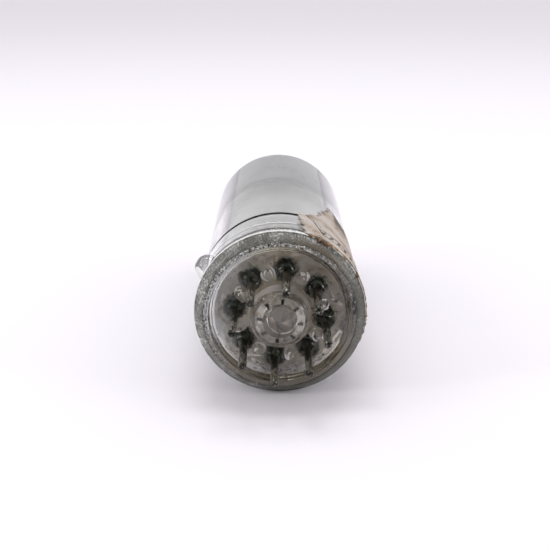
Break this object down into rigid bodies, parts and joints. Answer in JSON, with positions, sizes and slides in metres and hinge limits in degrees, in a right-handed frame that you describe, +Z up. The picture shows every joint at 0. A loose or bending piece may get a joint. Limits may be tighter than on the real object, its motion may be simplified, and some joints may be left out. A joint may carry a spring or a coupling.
{
  "type": "vacuum tube",
  "caption": "Miniature all-glass vacuum tube lying on its side, with straight pins standing on a circle, a locating pip on the collar and a torn paper label.",
  "frame": {"origin": "centre of the pin circle, on the flat crest of the base that the tube seats on", "axes": "+Y along the tube's axis from the pins to the dome, +Z up with the tube lying on its side, +X to the right as seen from the pin end"},
  "size_m": [0.0219, 0.064, 0.0218],
  "materials": {
    "clear_glass": "clear blown glass, a little dusty",
    "base_glass": "pressed glass, cloudy round the pins",
    "frit": "grainy ground glass where bulb and base are fused",
    "pin_metal": "oxidised alloy wire with bright scraped tips",
    "nickel": "dull nickel",
    "copper": "copper rod, bright from the vacuum",
    "grid_wire": "fine drawn wire",
    "anode_metal": "blackened nickel sheet, matt grey",
    "cage_metal": "bright satin sheet",
    "mica": "cleaved mica, sprayed white",
    "white_oxide": "matt sprayed oxide",
    "getter_metal": "scorched nickel channel",
    "getter_film": "thin bright metal film, grey at its edge",
    "label_paper": "aged torn paper, printed with a thin border",
    "dried_glue": "brown dried gum"
  },
  "bodies": {
    "root": {"glass_envelope": "clear_glass", "locating_pip": "clear_glass", "base_disc": "base_glass", "seal_frit": "frit", "exhaust_stub": "clear_glass", "pin_1": "pin_metal", "pin_2": "pin_metal", "pin_3": "pin_metal", "pin_4": "pin_metal", "pin_5": "pin_metal", "pin_6": "pin_metal", "pin_7": "pin_metal", "pin_8": "pin_metal", "lead_1": "nickel", "lead_2": "nickel", "lead_3": "nickel", "lead_4": "nickel", "lead_5": "nickel", "lead_6": "nickel", "lead_7": "nickel", "lead_8": "nickel", "lower_shield_disc": "nickel", "lower_mica": "mica", "upper_mica": "mica", "upper_shield_disc": "nickel", "mica_eyelets": "nickel", "heater": "white_oxide", "cathode_sleeve": "nickel", "cathode_coating": "white_oxide", "cathode_tab": "nickel", "control_grid_rods": "copper", "control_grid_winding": "grid_wire", "screen_grid_rods": "copper", "screen_grid_winding": "grid_wire", "suppressor_grid_rods": "nickel", "suppressor_grid_winding": "grid_wire", "anode": "anode_metal", "anode_rods": "nickel", "screening_cage": "cage_metal", "cage_rods": "nickel", "getter_ring": "getter_metal", "getter_support": "nickel", "getter_film": "getter_film", "paper_label": "label_paper", "label_glue": "dried_glue"}
  },
  "joints": []
}
